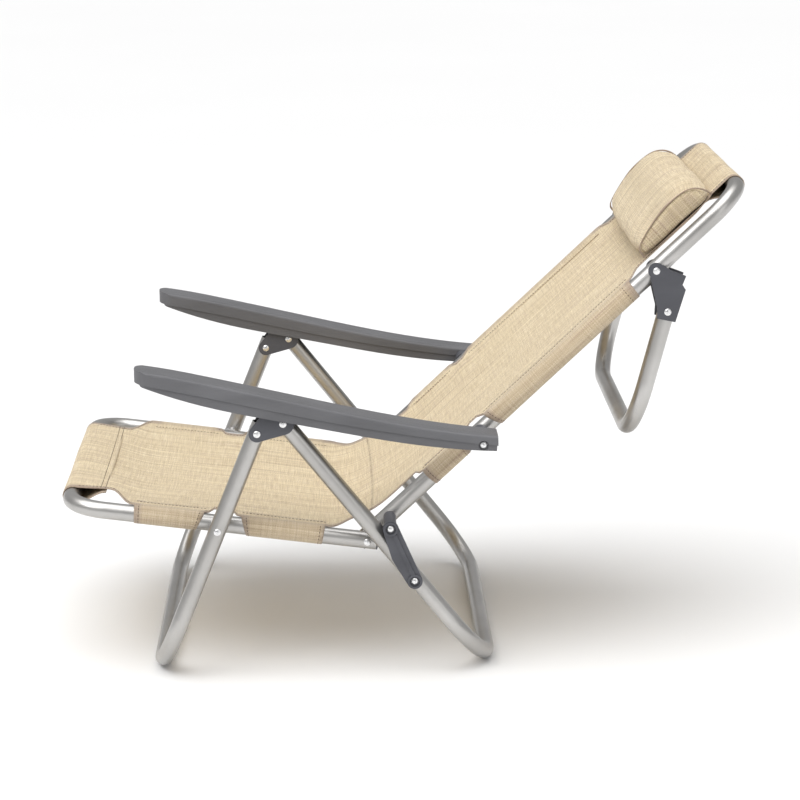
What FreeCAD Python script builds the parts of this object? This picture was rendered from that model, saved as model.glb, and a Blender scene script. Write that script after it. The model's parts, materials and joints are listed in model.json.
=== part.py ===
import FreeCAD, Part
import math
import os

# Folding low beach chair: tube frame, cloth sling, two armrests and a fold-out rear prop.
# The chair faces -Y, +Z is up, and the origin is on the floor under the middle of the chair.
# Left is +X, the sitter's left. Units are millimetres. Points of the side view are (y, z).

# ---- driving dimensions -------------------------------------------------------------------
TUBE_R = 11.0                 # all frames are 22 mm round tube
TUBE_WALL = 1.2
LEG_X = 270.0                 # half widths of the U-shaped frames, at the tube axis
REAR_FOOT_X = 259.0           # the rear leg frame narrows towards its foot
SEAT_X = 236.0
BACK_X = 213.0
FRONT_LEG_BEND = 75.0         # bend radii at the tube axis
REAR_LEG_BEND = 78.0
SEAT_BEND = 45.0
BACK_BEND = 48.0
PROP_BEND = 70.0
TUBE_STUB = 12.0              # how far a tube runs on past its last rivet

FRONT_FOOT = (-315.4, TUBE_R)         # front leg frame's bar on the floor
REAR_FOOT = (107.0, TUBE_R)           # rear leg frame's bar on the floor
FRONT_TOP = (-185.6, 326.5)           # front leg to knuckle rivet
REAR_TOP = (-152.6, 339.2)            # rear leg pivot in the knuckle
SEAT_FRONT = (-429.6, 224.0)          # seat frame's front bar
BACK_HINGE = (-47.7, 173.3)           # back frame to seat frame hinge
BACK_ANGLE = 42.94                    # back frame's slope, degrees
BACK_LENGTH = 652.0                   # back hinge to the back frame's top bar
LINK_ON_BACK = 40.0                   # distances along the back frame from its hinge
ARM_ON_BACK = 201.0
PROP_ON_BACK = 506.0
LINK_ON_REAR_LEG = 265.0              # rear leg pivot to the link's lower rivet
SEAT_PIVOT_DROP = 138.2               # knuckle rivet to the seat pivot, down the front leg
RACK_PIN = (-170.6, 352.2)            # pin that the armrest's rack drops on
PROP_RIVET = (337.6, 465.0)           # bracket to prop tube
PROP_BAR = (293.5, 300.9)             # prop frame's bottom bar

RIVET_R = 3.0
HOLE_R = 3.05                         # running clearance of 0.05 mm
HEAD_R = 4.5
HEAD_H = 2.0
HEAD_RIM = 0.5
GAP = 0.3                             # between a tube and a plate on another body
FLAT_GAP = 0.1                        # between flat faces that turn on each other
CUT = 1.0                             # how far a cutting body runs past the face it cuts
WELD = 0.5                            # how far two shapes of one moulding run into each other

KNUCKLE_T = 3.0                       # knuckle plates
KNUCKLE_GAP = 0.8                     # wider than GAP, because the rear legs lean inwards
KNUCKLE_FRONT_R = 10.4                # round corners of the knuckle plates
KNUCKLE_REAR_R = 14.0
KNUCKLE_PIN_R = 5.5
LINK_T = 5.0                          # link plate
LINK_R = 9.9                          # link's round ends
LINK_WAIST_R = 8.6
LINK_BOSS_R = 8.0
LINK_RING = 1.8                       # height of the link's rings
LINK_RIB = 1.3
LINK_RECESS_R = 6.7
LINK_RECESS = 1.2
BRACKET_T = 3.5
BRACKET_ROUND_R = 10.4
SEAT_SPACER_R = 10.5
ARM_SPACER_R = 11.0
WASHER_R = 8.0
PLUG_STEM = 8.5                       # stops short of the rivet through the tube
PLUG_FLANGE = 2.0
PLUG_ROUND = 0.9

ARM_X0 = 248.0                        # armrest's inner and outer side faces
ARM_X1 = 296.0
ARM_STEP = 1.8                        # the lower skirt stands in by this much
ARM_WALL = 2.4
ARM_ROOF_T = 4.0
ARM_TIP_R = 20.0
ARM_TIP_Y = -338.0
ARM_EDGE_ROUND = 4.0                  # rounding of the top's long edges
ARM_BLOCK_Y = 86.0                    # the channel stops here, before the pivot's solid end
ARM_RECESS = 2.8                      # round recess for the pivot rivet's head
ARM_RECESS_R = 6.6
RACK_DEPTH = 3.5
RACK_PITCH = 26.0
RACK_HALF_WIDTH = 6.0
RACK_START_Y = -245.0
RACK_TEETH = 6

CLOTH_T = 1.2
CLOTH_GAP = 0.4                       # between a tube and its cloth sleeve
SLEEVE_REACH = 26.0                   # panel edge inside the tube axis where there is no sleeve
POCKET_INSET = 6.0                    # pocket ends stop short of the frame's bends
BAR_REACH = 60.0                      # the pocket's seam, measured back from the bar
SEAT_PANEL_START = 86.0               # distances from the back hinge
BACK_PANEL_START = 110.0
SEAT_SLEEVES = [(48.0, 164.0), (216.0, 306.0)]
BACK_SLEEVES = [(110.0, 184.0), (218.0, 472.0)]
PANEL_GAP = 0.5                       # between the cloth's stretches

PILLOW_X = 196.0
# Pillow's outline: distances along the back frame and heights above its axis.
PILLOW_BASE = [(626.0, 13.4), (503.0, 13.4)]
PILLOW_CROWN = [(500.5, 16.0), (505.0, 31.0), (529.0, 48.0), (565.0, 58.5), (600.0, 54.0), (622.0, 36.0),
                (628.0, 20.0)]

SIDES = (("left", 1.0), ("right", -1.0))


# ---- side-view points -------------------------------------------------------------------
def towards(a, b, distance):
    """Point at a distance from a on the line to b, in the side view."""
    span = math.hypot(b[0] - a[0], b[1] - a[1])
    return (a[0] + (b[0] - a[0]) * distance / span, a[1] + (b[1] - a[1]) * distance / span)


def rear_leg_x(distance):
    """Half width of the rear leg frame, at a distance from its pivot down the leg."""
    return LEG_X + (REAR_FOOT_X - LEG_X) * distance / REAR_LEG_LENGTH


def beside(a, b, distance, offset):
    """Point along the line from a to b, then offset to the left of the way to b."""
    span = math.hypot(b[0] - a[0], b[1] - a[1])
    uy = (b[0] - a[0]) / span
    uz = (b[1] - a[1]) / span
    return (a[0] + uy * distance - uz * offset, a[1] + uz * distance + uy * offset)


BACK_COS = math.cos(math.radians(BACK_ANGLE))
BACK_SIN = math.sin(math.radians(BACK_ANGLE))
BACK_TOP = (BACK_HINGE[0] + BACK_LENGTH * BACK_COS, BACK_HINGE[1] + BACK_LENGTH * BACK_SIN)
LINK_TOP = towards(BACK_HINGE, BACK_TOP, LINK_ON_BACK)
ARM_PIVOT = towards(BACK_HINGE, BACK_TOP, ARM_ON_BACK)
PROP_PIVOT = towards(BACK_HINGE, BACK_TOP, PROP_ON_BACK)
LINK_BOTTOM = towards(REAR_TOP, REAR_FOOT, LINK_ON_REAR_LEG)
# The seat pivot lies where the front leg and the seat frame cross.
SEAT_PIVOT = towards(FRONT_TOP, FRONT_FOOT, SEAT_PIVOT_DROP)
REAR_LEG_LENGTH = math.hypot(REAR_FOOT[0] - REAR_TOP[0], REAR_FOOT[1] - REAR_TOP[1])

# Layers across the chair, from the leg frames outwards and inwards.
LEG_OUT = LEG_X + TUBE_R
LEG_IN = LEG_X - TUBE_R
SEAT_OUT = SEAT_X + TUBE_R
SEAT_IN = SEAT_X - TUBE_R
BACK_OUT = BACK_X + TUBE_R
BACK_IN = BACK_X - TUBE_R


# ---- helpers ------------------------------------------------------------------------------
def vec(x, p):
    return FreeCAD.Vector(x, p[0], p[1])


def rod(p, x0, x1, radius):
    """Round bar across the chair, from x0 to x1."""
    low = min(x0, x1)
    return Part.makeCylinder(radius, abs(x1 - x0), vec(low, p), FreeCAD.Vector(1, 0, 0))


def ring(p, x0, x1, outer, inner):
    return rod(p, x0, x1, outer).cut(rod(p, x0 - CUT, x1 + CUT, inner))


def prism(points, x0, x1):
    """Closed outline of the side view, pushed across the chair from x0 to x1."""
    low = min(x0, x1)
    corners = [vec(low, p) for p in points]
    wire = Part.makePolygon(corners + corners[:1])
    return Part.Face(wire).extrude(FreeCAD.Vector(abs(x1 - x0), 0, 0))


def curve(points, x):
    """Smooth edge through side-view points."""
    line = Part.BSplineCurve()
    line.interpolate([vec(x, p) for p in points])
    return line.toShape()


def curved_prism(upper, lower, x0, x1):
    """Body between two smooth side-view curves that run the same way."""
    low = min(x0, x1)
    top = curve(upper, low)
    bottom = curve(lower, low)
    ends = [Part.makeLine(vec(low, upper[-1]), vec(low, lower[-1])),
            Part.makeLine(vec(low, lower[0]), vec(low, upper[0]))]
    wire = Part.Wire(Part.__sortEdges__([top, bottom] + ends))
    return Part.Face(wire).extrude(FreeCAD.Vector(abs(x1 - x0), 0, 0))


def tangent_quad(a, ra, b, rb):
    """Corners of the band that joins two circles of the side view."""
    span = math.hypot(b[0] - a[0], b[1] - a[1])
    along = math.atan2(b[1] - a[1], b[0] - a[0])
    lean = math.acos((ra - rb) / span)
    quad = []
    for centre, radius, side in ((a, ra, 1), (b, rb, 1), (b, rb, -1), (a, ra, -1)):
        angle = along + side * lean
        quad.append((centre[0] + radius * math.cos(angle), centre[1] + radius * math.sin(angle)))
    return quad


def belt_plate(circles, x0, x1):
    """Plate whose outline is a belt drawn round circles ((y, z), radius)."""
    plate = rod(circles[0][0], x0, x1, circles[0][1])
    for centre, radius in circles[1:]:
        plate = plate.fuse(rod(centre, x0, x1, radius))
    count = len(circles)
    pairs = [(i, (i + 1) % count) for i in range(count if count > 2 else 1)]
    for i, j in pairs:
        quad = tangent_quad(circles[i][0], circles[i][1], circles[j][0], circles[j][1])
        plate = plate.fuse(prism(quad, x0, x1))
    if count > 2:
        plate = plate.fuse(prism([c[0] for c in circles], x0, x1))
    return plate.removeSplitter()


def bent_corner(corner, incoming, outgoing, radius):
    """Start, middle and end of the arc that rounds a corner between two directions."""
    turn = incoming.getAngle(outgoing)
    reach = radius * math.tan(turn / 2.0)
    inward = (outgoing - incoming).normalize()
    middle = corner + inward * (radius / math.cos(turn / 2.0) - radius)
    return corner - incoming * reach, middle, corner + outgoing * reach


def u_path(top, bottom, top_x, bottom_x, bend):
    """Centre line of a U-shaped frame, from the right end round to the left end."""
    corners = [vec(-top_x, top), vec(-bottom_x, bottom), vec(bottom_x, bottom), vec(top_x, top)]
    down = (corners[1] - corners[0]).normalize()
    across = FreeCAD.Vector(1, 0, 0)
    up = (corners[3] - corners[2]).normalize()
    first = bent_corner(corners[1], down, across, bend)
    second = bent_corner(corners[2], across, up, bend)
    edges = [Part.makeLine(corners[0], first[0]),
             Part.Arc(*first).toShape(),
             Part.makeLine(first[2], second[0]),
             Part.Arc(*second).toShape(),
             Part.makeLine(second[2], corners[3])]
    return Part.Wire(edges), corners[0], down


def u_frame(top, bottom, top_x, bottom_x, bend):
    """Hollow bent tube with its ends at top and its bar at bottom."""
    bodies = []
    for radius in (TUBE_R, TUBE_R - TUBE_WALL):
        path, start, direction = u_path(top, bottom, top_x, bottom_x, bend)
        circle = Part.Wire(Part.makeCircle(radius, start, direction))
        bodies.append(path.makePipeShell([circle], True, False))
    return bodies[0].cut(bodies[1])


def drill(shape, p, half_width):
    """Rivet holes through both side tubes of a frame."""
    reach = TUBE_R + CUT
    for _, side in SIDES:
        hole = rod(p, side * (half_width - reach), side * (half_width + reach), HOLE_R)
        shape = shape.cut(hole)
    return shape


def head(p, x, outward):
    """Domed rivet head whose flat face is at x."""
    rise = HEAD_H - HEAD_RIM
    ball = (HEAD_R ** 2 + rise ** 2) / (2.0 * rise)
    latitude = math.degrees(math.asin((ball - rise) / ball))
    direction = FreeCAD.Vector(outward, 0, 0)
    centre = vec(x + outward * (HEAD_RIM + rise - ball), p)
    dome = Part.makeSphere(ball, centre, direction, latitude, 90, 360)
    return rod(p, x, x + outward * HEAD_RIM, HEAD_R).fuse(dome)


def rivet(p, inner, outer, inner_head=True):
    """Rivet from the inner to the outer face, with a head past each."""
    body = rod(p, inner, outer, RIVET_R).fuse(head(p, outer, 1))
    if inner_head:
        body = body.fuse(head(p, inner, -1))
    return body.removeSplitter()


def mirrored(shape):
    return shape.mirror(FreeCAD.Vector(0, 0, 0), FreeCAD.Vector(1, 0, 0))


def both_sides(shape):
    """The left piece and its mirror image, as separate solids of one node."""
    return Part.makeCompound([shape, mirrored(shape)])


def plug(p, inward, half_width):
    """Cap pushed into an open tube end at p; inward is a side-view point down the tube."""
    direction = (vec(0, inward) - vec(0, p)).normalize()
    start = vec(half_width, p)
    stem = Part.makeCylinder(TUBE_R - TUBE_WALL - (HOLE_R - RIVET_R), PLUG_STEM, start, direction)
    flange = Part.makeCylinder(TUBE_R, PLUG_FLANGE, start - direction * PLUG_FLANGE, direction)
    outer_edge = flange.Edges[0]
    return flange.makeFillet(PLUG_ROUND, [outer_edge]).fuse(stem)


# ---- frames -------------------------------------------------------------------------------
SEAT_END = towards(BACK_HINGE, SEAT_FRONT, -TUBE_STUB)
BACK_END = towards(BACK_HINGE, BACK_TOP, -TUBE_STUB)
PROP_END = towards(PROP_RIVET, PROP_BAR, -TUBE_STUB)


def front_leg_frame():
    end = towards(FRONT_TOP, FRONT_FOOT, -TUBE_STUB)
    frame = u_frame(end, FRONT_FOOT, LEG_X, LEG_X, FRONT_LEG_BEND)
    frame = drill(frame, FRONT_TOP, LEG_X)
    return drill(frame, SEAT_PIVOT, LEG_X)


def rear_leg_frame():
    end = towards(REAR_TOP, REAR_FOOT, -TUBE_STUB)
    frame = u_frame(end, REAR_FOOT, rear_leg_x(-TUBE_STUB), REAR_FOOT_X, REAR_LEG_BEND)
    frame = drill(frame, REAR_TOP, LEG_X)
    return drill(frame, LINK_BOTTOM, rear_leg_x(LINK_ON_REAR_LEG))


def seat_frame():
    frame = u_frame(SEAT_END, SEAT_FRONT, SEAT_X, SEAT_X, SEAT_BEND)
    frame = drill(frame, BACK_HINGE, SEAT_X)
    return drill(frame, SEAT_PIVOT, SEAT_X)


def back_frame():
    frame = u_frame(BACK_END, BACK_TOP, BACK_X, BACK_X, BACK_BEND)
    for p in (BACK_HINGE, ARM_PIVOT, PROP_PIVOT):
        frame = drill(frame, p, BACK_X)
    return frame


def prop_frame():
    frame = u_frame(PROP_END, PROP_BAR, BACK_X, BACK_X, PROP_BEND)
    return drill(frame, PROP_RIVET, BACK_X)


# ---- knuckles that join the legs under the armrests -------------------------------------------
KNUCKLE_OUTLINE = [(FRONT_TOP, KNUCKLE_FRONT_R), (REAR_TOP, KNUCKLE_REAR_R), (RACK_PIN, KNUCKLE_PIN_R)]
KNUCKLE_OUTER_X = LEG_OUT + KNUCKLE_GAP
KNUCKLE_INNER_X = LEG_IN - KNUCKLE_GAP - KNUCKLE_T


def knuckle_plate(x0):
    x1 = x0 + KNUCKLE_T
    plate = belt_plate(KNUCKLE_OUTLINE, x0, x1)
    for p in (FRONT_TOP, REAR_TOP):
        plate = plate.cut(rod(p, x0 - CUT, x1 + CUT, HOLE_R))
    return plate.cut(rod(RACK_PIN, x0 - CUT, x1 + CUT, RIVET_R))


def rack_pin():
    return rod(RACK_PIN, KNUCKLE_INNER_X, KNUCKLE_OUTER_X + KNUCKLE_T, RIVET_R)


def leg_rivet(p):
    return rivet(p, KNUCKLE_INNER_X - FLAT_GAP, KNUCKLE_OUTER_X + KNUCKLE_T + FLAT_GAP)


# ---- link from the rear leg to the foot of the back frame -----------------------------------
LINK_X = LEG_OUT + GAP
LINK_FACE = LINK_X + LINK_T
LINK_FLOOR = LINK_FACE - LINK_RECESS          # floor of the recess round each rivet head
LINK_UPPER_X = BACK_OUT + 3 * GAP             # inner ends of the link's two bosses
LINK_LOWER_X = rear_leg_x(LINK_ON_REAR_LEG) + TUBE_R + 2 * GAP
LINK_WAIST = beside(LINK_BOTTOM, LINK_TOP, 38.0, 6.0)
LINK_RIB_ENDS = (4.0, 66.0)                   # along the link from its lower rivet
LINK_RIB_SIDES = (-4.2, 1.4)                  # across it


def link():
    """Tapering plate with two ringed ends, a rib between them and a boss behind each end."""
    circles = [(LINK_TOP, LINK_R), (LINK_WAIST, LINK_WAIST_R), (LINK_BOTTOM, LINK_R)]
    body = belt_plate(circles, LINK_X, LINK_FACE)
    near, far = LINK_RIB_ENDS
    below, above = LINK_RIB_SIDES
    corners = ((near, below), (far, below), (far, above), (near, above))
    rib = [beside(LINK_BOTTOM, LINK_TOP, along, across) for along, across in corners]
    body = body.fuse(prism(rib, LINK_FACE - WELD, LINK_FACE + LINK_RIB))
    for p, inner in ((LINK_TOP, LINK_UPPER_X), (LINK_BOTTOM, LINK_LOWER_X)):
        body = body.fuse(rod(p, LINK_FACE - WELD, LINK_FACE + LINK_RING, LINK_R - WELD))
        body = body.fuse(rod(p, inner, LINK_X + WELD, LINK_BOSS_R))
    for p, inner in ((LINK_TOP, LINK_UPPER_X), (LINK_BOTTOM, LINK_LOWER_X)):
        body = body.cut(rod(p, LINK_FLOOR, LINK_FACE + LINK_RING + CUT, LINK_RECESS_R))
        body = body.cut(rod(p, inner - CUT, LINK_FACE, HOLE_R))
    return body


def link_lower_rivet():
    tube_inner_face = rear_leg_x(LINK_ON_REAR_LEG) - TUBE_R
    return rivet(LINK_BOTTOM, tube_inner_face - 2 * GAP, LINK_FLOOR + FLAT_GAP)


def link_upper_rivet():
    return rivet(LINK_TOP, LINK_UPPER_X, LINK_FLOOR + FLAT_GAP, False)


# ---- pivots of the seat, the back and the armrests ------------------------------------------
def seat_pivot_rivet():
    return rivet(SEAT_PIVOT, SEAT_IN - FLAT_GAP, LEG_OUT + FLAT_GAP)


def seat_pivot_spacer():
    return ring(SEAT_PIVOT, SEAT_OUT + FLAT_GAP, LEG_IN - FLAT_GAP, SEAT_SPACER_R, HOLE_R)


def back_hinge_rivet():
    return rivet(BACK_HINGE, BACK_IN - FLAT_GAP, SEAT_OUT + FLAT_GAP)


def back_hinge_washer():
    return ring(BACK_HINGE, BACK_OUT + FLAT_GAP, SEAT_IN - FLAT_GAP, WASHER_R, HOLE_R)


def armrest_pivot_rivet():
    return rivet(ARM_PIVOT, BACK_IN - FLAT_GAP, ARM_X1 - ARM_STEP - ARM_RECESS + FLAT_GAP)


def armrest_pivot_spacer():
    return ring(ARM_PIVOT, BACK_OUT + FLAT_GAP, ARM_X0 - FLAT_GAP, ARM_SPACER_R, HOLE_R)


# ---- armrests ---------------------------------------------------------------------------------
# Curves of its side view, from the pivot end to the tip.
ARM_TOP = [(117.9, 321.9), (9.7, 337.2), (-111.8, 363.2), (-257.4, 396.8), (-309.5, 407.4), (-339.6, 411.9)]
ARM_BAND = [(118.1, 309.9), (34.9, 320.6), (-117.5, 348.1), (-224.9, 371.8), (-339.3, 395.5)]
ARM_EDGE = [(116.2, 302.7), (9.1, 313.1), (-134.4, 340.4), (-236.8, 361.8), (-329.3, 391.5)]
ARM_SKIRT_TOP = [(p[0] - WELD, p[1] - ARM_ROOF_T / 2.0) for p in ARM_TOP]
ARM_ROOF = [(p[0], p[1] - ARM_ROOF_T) for p in ARM_TOP]
ARM_LOW = [(p[0], p[1] - 60.0) for p in ARM_EDGE]
ARM_REACH = 500.0                     # longer, wider and higher than an armrest


def armrest():
    """Channel open underneath, with a rounded tip, a stepped skirt and a rack under its roof."""
    cover = curved_prism(ARM_TOP, ARM_BAND, ARM_X0, ARM_X1)
    top_edges = [e for e in cover.Edges if is_top_edge(e)]
    cover = cover.makeFillet(ARM_EDGE_ROUND, top_edges)
    skirt = curved_prism(ARM_SKIRT_TOP, ARM_EDGE, ARM_X0 + ARM_STEP, ARM_X1 - ARM_STEP)
    body = cover.fuse(skirt).common(armrest_plan())
    wall = ARM_STEP + ARM_WALL
    channel = curved_prism(ARM_ROOF, ARM_LOW, ARM_X0 + wall, ARM_X1 - wall)
    channel_limit = Part.makeBox(ARM_REACH, ARM_BLOCK_Y - ARM_TIP_Y - ARM_TIP_R, ARM_REACH,
                                 vec(0, (ARM_TIP_Y + ARM_TIP_R, 0)))
    body = body.cut(channel.common(channel_limit))
    body = body.fuse(armrest_rack())
    body = body.cut(rod(ARM_PIVOT, ARM_X0 - CUT, ARM_X1 + CUT, HOLE_R))
    return body.cut(rod(ARM_PIVOT, ARM_X1 - ARM_STEP - ARM_RECESS, ARM_X1 + CUT, ARM_RECESS_R))


def is_top_edge(edge):
    """Whether an edge of the armrest's cover runs along its top."""
    ends = [v.Point for v in edge.Vertexes]
    tip, rear = sorted(ends, key=lambda end: end.y)
    on_tip = abs(tip.z - ARM_TOP[-1][1]) < CUT
    return rear.y - tip.y > ARM_X1 - ARM_X0 and on_tip


def armrest_plan():
    """Upright body over the armrest's outline from above, round at the tip."""
    plan = Part.makeBox(ARM_X1 - ARM_X0, ARM_REACH, ARM_REACH, vec(ARM_X0, (ARM_TIP_Y, 0)))
    uprights = [e for e in plan.Edges if e.BoundBox.ZLength > ARM_REACH / 2.0]
    tips = [e for e in uprights if e.BoundBox.YMax < 0]
    return plan.makeFillet(ARM_TIP_R, tips)


def roof_height(y):
    """Height of the channel's roof at y."""
    for (y1, z1), (y0, z0) in zip(ARM_ROOF, ARM_ROOF[1:]):
        if y0 <= y <= y1:
            return z0 + (z1 - z0) * (y - y0) / (y1 - y0)
    return ARM_ROOF[-1][1]


def armrest_rack():
    """Toothed strip under the roof, with one notch for each position of the back."""
    tooth = ((0.0, CUT), (0.55, RACK_DEPTH), (0.60, CUT))
    points = []
    for number in range(RACK_TEETH):
        for share, depth in tooth:
            y = RACK_START_Y + RACK_PITCH * (number + share)
            points.append((y, roof_height(y) - depth))
    root = [(y, roof_height(y) + ARM_ROOF_T / 2.0) for y in (points[-1][0], points[0][0])]
    middle = (ARM_X0 + ARM_X1) / 2.0
    return prism(points + root, middle - RACK_HALF_WIDTH, middle + RACK_HALF_WIDTH)


# ---- rear prop's brackets ---------------------------------------------------------------------
BRACKET_OUTER_X = BACK_OUT + GAP
BRACKET_INNER_X = BACK_IN - GAP - BRACKET_T
BRACKET_OUTLINE = [(315.1, 509.2), (324.5, 469.8), (323.7, 456.8), (347.4, 451.7), (360.2, 493.4),
                   (356.0, 499.8), (360.4, 510.9), (340.7, 518.6), (331.6, 524.9)]


def bracket(x0):
    """Plate that is round at its pivot, with a stop notch in its rear edge."""
    plate = prism(BRACKET_OUTLINE, x0, x0 + BRACKET_T)
    plate = plate.fuse(rod(PROP_PIVOT, x0, x0 + BRACKET_T, BRACKET_ROUND_R))
    for p in (PROP_PIVOT, PROP_RIVET):
        plate = plate.cut(rod(p, x0 - CUT, x0 + BRACKET_T + CUT, HOLE_R))
    return plate.removeSplitter()


def bracket_rivet(p):
    return rivet(p, BRACKET_INNER_X - FLAT_GAP, BRACKET_OUTER_X + BRACKET_T + FLAT_GAP)


# ---- cloth ------------------------------------------------------------------------------------
SLEEVE_IN = TUBE_R + CLOTH_GAP
SLEEVE_OUT = SLEEVE_IN + CLOTH_T


def slab(a, b, start, end, x0, x1, low=SLEEVE_IN, high=SLEEVE_OUT):
    """Flat cloth above the line from a to b, between two distances along it."""
    side = 1.0 if b[0] > a[0] else -1.0
    corners = [beside(a, b, start, side * low), beside(a, b, end, side * low),
               beside(a, b, end, side * high), beside(a, b, start, side * high)]
    return prism(corners, x0, x1)


def sleeve(a, b, start, end, half_width):
    """Cloth tube round a frame's side tube, on the left side."""
    first = vec(half_width, beside(a, b, start, 0.0))
    direction = (vec(0, b) - vec(0, a)).normalize()
    outer = Part.makeCylinder(SLEEVE_OUT, end - start, first, direction)
    inner = Part.makeCylinder(SLEEVE_IN, end - start, first, direction)
    return outer.cut(inner)


def panel(a, b, start, frame_x, bend, sleeves):
    """Cloth from start to the far bar at b, with side sleeves and a pocket round the bar."""
    span = math.hypot(b[0] - a[0], b[1] - a[1])
    edge = frame_x - SLEEVE_REACH
    pocket_x = frame_x - bend - POCKET_INSET
    cloth = slab(a, b, start, span - BAR_REACH, -edge, edge)
    for first, last in sleeves:
        reach = slab(a, b, max(first, start), last, edge - WELD, frame_x)
        strip = sleeve(a, b, first, last, frame_x)
        for piece in (reach, mirrored(reach), strip, mirrored(strip)):
            cloth = cloth.fuse(piece)
    cloth = cloth.fuse(slab(a, b, span - BAR_REACH - WELD, span, -pocket_x, pocket_x))
    cloth = cloth.fuse(ring(b, -pocket_x, pocket_x, SLEEVE_OUT, SLEEVE_IN))
    return cloth.removeSplitter()


def seat_sling():
    return panel(BACK_HINGE, SEAT_FRONT, SEAT_PANEL_START, SEAT_X, SEAT_BEND, SEAT_SLEEVES)


def back_sling():
    return panel(BACK_HINGE, BACK_TOP, BACK_PANEL_START, BACK_X, BACK_BEND, BACK_SLEEVES)


def bend_line(offset):
    """Side-view points of the loose cloth at a height above the frames' axes."""
    seat_line = ((SEAT_PANEL_START - PANEL_GAP, 0.0), (44.0, 3.0))
    back_line = ((30.0, 8.0), (66.0, 3.0), (BACK_PANEL_START - PANEL_GAP, 0.0))
    points = [beside(BACK_HINGE, SEAT_FRONT, along, -offset - lift) for along, lift in seat_line]
    return points + [beside(BACK_HINGE, BACK_TOP, along, offset + lift) for along, lift in back_line]


def sling_bend():
    """Loose stretch of the cloth that rounds the corner from the seat to the back."""
    edge = BACK_X - SLEEVE_REACH
    return curved_prism(bend_line(SLEEVE_OUT), bend_line(SLEEVE_IN), -edge, edge)


def head_pillow():
    """Bolster with a flat underside and a rounded face."""
    crown = [beside(BACK_HINGE, BACK_TOP, along, height) for along, height in PILLOW_CROWN]
    base = [beside(BACK_HINGE, BACK_TOP, along, height) for along, height in PILLOW_BASE]
    edges = [curve(crown, -PILLOW_X)]
    flat = [crown[-1]] + base + [crown[0]]
    for start, end in zip(flat, flat[1:]):
        edges.append(Part.makeLine(vec(-PILLOW_X, start), vec(-PILLOW_X, end)))
    outline = Part.Face(Part.Wire(edges))
    return outline.extrude(FreeCAD.Vector(2 * PILLOW_X, 0, 0))


# ---- nodes ------------------------------------------------------------------------------------
def build():
    nodes = {
        "front_leg_frame": front_leg_frame(),
        "rear_leg_frame": rear_leg_frame(),
        "seat_frame": seat_frame(),
        "back_frame": back_frame(),
        "prop_frame": prop_frame(),
        "knuckle_rack_pins": both_sides(rack_pin()),
        "front_leg_rivets": both_sides(leg_rivet(FRONT_TOP)),
        "rear_leg_pivot_rivets": both_sides(leg_rivet(REAR_TOP)),
        "seat_pivot_rivets": both_sides(seat_pivot_rivet()),
        "seat_pivot_spacers": both_sides(seat_pivot_spacer()),
        "back_hinge_rivets": both_sides(back_hinge_rivet()),
        "back_hinge_washers": both_sides(back_hinge_washer()),
        "link_lower_rivets": both_sides(link_lower_rivet()),
        "armrest_pivot_rivets": both_sides(armrest_pivot_rivet()),
        "armrest_pivot_spacers": both_sides(armrest_pivot_spacer()),
        "prop_pivot_rivets": both_sides(bracket_rivet(PROP_PIVOT)),
        "prop_tube_rivets": both_sides(bracket_rivet(PROP_RIVET)),
        "seat_end_plugs": both_sides(plug(SEAT_END, SEAT_FRONT, SEAT_X)),
        "back_end_plugs": both_sides(plug(BACK_END, BACK_TOP, BACK_X)),
        "seat_sling": seat_sling(),
        "back_sling": back_sling(),
        "sling_bend": sling_bend(),
        "head_pillow": head_pillow(),
    }
    pairs = {
        "armrest": armrest(),
        "link": link(),
        "link_upper_rivet": link_upper_rivet(),
        "knuckle_outer_plate": knuckle_plate(KNUCKLE_OUTER_X),
        "knuckle_inner_plate": knuckle_plate(KNUCKLE_INNER_X),
        "prop_bracket_outer": bracket(BRACKET_OUTER_X),
        "prop_bracket_inner": bracket(BRACKET_INNER_X),
    }
    for name, shape in pairs.items():
        nodes[name + "_left"] = shape
        nodes[name + "_right"] = mirrored(shape)
    return nodes


def main():
    os.makedirs("parts", exist_ok=True)
    for name, shape in build().items():
        shape.exportStep("parts/" + name + ".step")


main()
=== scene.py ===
import json
import math

import bpy
from mathutils import Matrix, Vector, noise


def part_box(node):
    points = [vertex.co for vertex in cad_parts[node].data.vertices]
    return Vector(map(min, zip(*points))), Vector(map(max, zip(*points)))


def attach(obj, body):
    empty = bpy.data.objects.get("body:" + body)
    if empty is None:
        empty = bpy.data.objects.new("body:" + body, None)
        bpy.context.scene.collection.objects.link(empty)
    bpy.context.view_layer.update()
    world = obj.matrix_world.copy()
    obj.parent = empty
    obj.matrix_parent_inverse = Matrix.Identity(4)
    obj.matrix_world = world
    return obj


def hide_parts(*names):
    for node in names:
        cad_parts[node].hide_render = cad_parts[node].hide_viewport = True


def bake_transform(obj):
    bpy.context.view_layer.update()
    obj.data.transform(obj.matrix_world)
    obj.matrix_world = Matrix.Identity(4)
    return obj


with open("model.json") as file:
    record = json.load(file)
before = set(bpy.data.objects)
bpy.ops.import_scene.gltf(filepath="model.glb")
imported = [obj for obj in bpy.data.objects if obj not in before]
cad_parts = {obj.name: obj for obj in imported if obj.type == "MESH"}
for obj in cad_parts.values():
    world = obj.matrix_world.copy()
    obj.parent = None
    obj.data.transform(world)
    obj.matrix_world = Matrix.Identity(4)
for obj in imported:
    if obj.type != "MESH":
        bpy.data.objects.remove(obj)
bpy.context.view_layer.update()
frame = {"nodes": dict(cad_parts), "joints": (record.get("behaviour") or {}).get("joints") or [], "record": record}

# ---- places taken from the frame, in metres ---------------------------------------------------
# A side-view point is (y, z). Left is +X and the sitter faces -Y.
JOINT_AT = {j["name"]: j["pos_m"] for j in frame["joints"]}


def side_point(joint):
    return Vector(JOINT_AT[joint][1:])


TUBE_R = 0.011


def frame_bar(node):
    """Half width at the tube axis, and the lowest and highest corners, of a U-shaped frame."""
    low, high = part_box(node)
    return high.x - TUBE_R, low, high


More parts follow.
